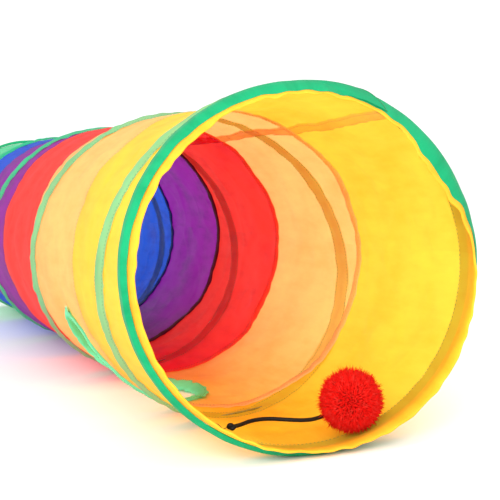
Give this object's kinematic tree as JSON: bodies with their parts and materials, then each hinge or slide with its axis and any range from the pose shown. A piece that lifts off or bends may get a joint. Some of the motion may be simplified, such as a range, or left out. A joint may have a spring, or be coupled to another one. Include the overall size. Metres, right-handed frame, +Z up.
{
  "type": "agility tunnel",
  "caption": "Round pop-up cloth tunnel for small pets, in coloured panels on a sprung wire helix, with a peep hole and a pompom hung on a cord inside the mouth.",
  "frame": {"origin": "centre of the bounding box's bottom face: on the floor, below the tunnel's axis, half way along", "axes": "+X along the tunnel's axis towards the mouth with the pompom, +Y to the side of the long seam, +Z up"},
  "size_m": [1.326, 0.258, 0.2571],
  "materials": {
    "yellow_cloth": "satin",
    "orange_cloth": "satin",
    "red_cloth": "satin",
    "purple_cloth": "satin",
    "blue_cloth": "satin",
    "green_cloth": "satin",
    "green_tape": "satin",
    "spring_steel": "satin",
    "crimp_steel": "satin",
    "black_cord": "satin",
    "red_yarn": "matte"
  },
  "bodies": {
    "mouth_end": {"panel_1_yellow": "yellow_cloth", "long_seam_1": "yellow_cloth", "mouth_hem": "yellow_cloth", "mouth_ring_wire": "spring_steel", "mouth_ring_clip": "crimp_steel", "mouth_ring_tape": "green_tape", "helix_wire": "spring_steel", "helix_tape": "green_tape"},
    "section_2": {"cross_seam_1": "yellow_cloth", "panel_2_orange": "orange_cloth", "long_seam_2": "orange_cloth", "peep_hole_binding": "green_tape"},
    "section_3": {"cross_seam_2": "orange_cloth", "panel_3_red": "red_cloth", "long_seam_3": "red_cloth"},
    "section_4": {"cross_seam_3": "red_cloth", "panel_4_purple": "purple_cloth", "long_seam_4": "purple_cloth"},
    "section_5": {"cross_seam_4": "purple_cloth", "panel_5_blue": "blue_cloth", "long_seam_5": "blue_cloth"},
    "section_6": {"cross_seam_5": "blue_cloth", "panel_6_green": "green_cloth", "long_seam_6": "green_cloth"},
    "rear_end": {"rear_hem": "green_cloth", "rear_ring_wire": "spring_steel", "rear_ring_clip": "crimp_steel", "rear_ring_tape": "green_tape"},
    "knot": {"cord_knot": "black_cord"},
    "toy": {"cord": "black_cord", "pompom": "red_yarn"}
  },
  "joints": [
    {"name": "collapse", "type": "slide", "parent": "mouth_end", "child": "rear_end", "axis": [1, 0, 0], "range_m": [0, 1.2], "stiffness_N_per_m": 6, "springref_m": -0.25, "deforming": ["panel_1_yellow", "long_seam_1", "panel_2_orange", "long_seam_2", "panel_3_red", "long_seam_3", "panel_4_purple", "long_seam_4", "panel_5_blue", "long_seam_5", "panel_6_green", "long_seam_6", "peep_hole_binding", "helix_wire", "helix_tape"]},
    {"name": "section_2_slide", "type": "slide", "parent": "mouth_end", "child": "section_2", "axis": [1, 0, 0], "range_m": [0, 0.2005]},
    {"name": "section_3_slide", "type": "slide", "parent": "mouth_end", "child": "section_3", "axis": [1, 0, 0], "range_m": [0, 0.4005]},
    {"name": "section_4_slide", "type": "slide", "parent": "mouth_end", "child": "section_4", "axis": [1, 0, 0], "range_m": [0, 0.6005]},
    {"name": "section_5_slide", "type": "slide", "parent": "mouth_end", "child": "section_5", "axis": [1, 0, 0], "range_m": [0, 0.8005]},
    {"name": "section_6_slide", "type": "slide", "parent": "mouth_end", "child": "section_6", "axis": [1, 0, 0], "range_m": [0, 1.0005]},
    {"name": "toy_sway", "type": "hinge", "parent": "mouth_end", "child": "knot", "pos_m": [0.624, -0.05407, 0.02198], "axis": [0, -0.454, -0.891], "range_deg": [0, 100]},
    {"name": "toy_lift", "type": "hinge", "parent": "knot", "child": "toy", "pos_m": [0.624, -0.05407, 0.02198], "axis": [0.9744, -0.2002, 0.102], "range_deg": [0, 110]}
  ],
  "couplings": [
    {"joint": "section_2_slide", "follows": "collapse", "ratio": 0.16667},
    {"joint": "section_3_slide", "follows": "collapse", "ratio": 0.33333},
    {"joint": "section_4_slide", "follows": "collapse", "ratio": 0.5},
    {"joint": "section_5_slide", "follows": "collapse", "ratio": 0.66667},
    {"joint": "section_6_slide", "follows": "collapse", "ratio": 0.83333}
  ]
}
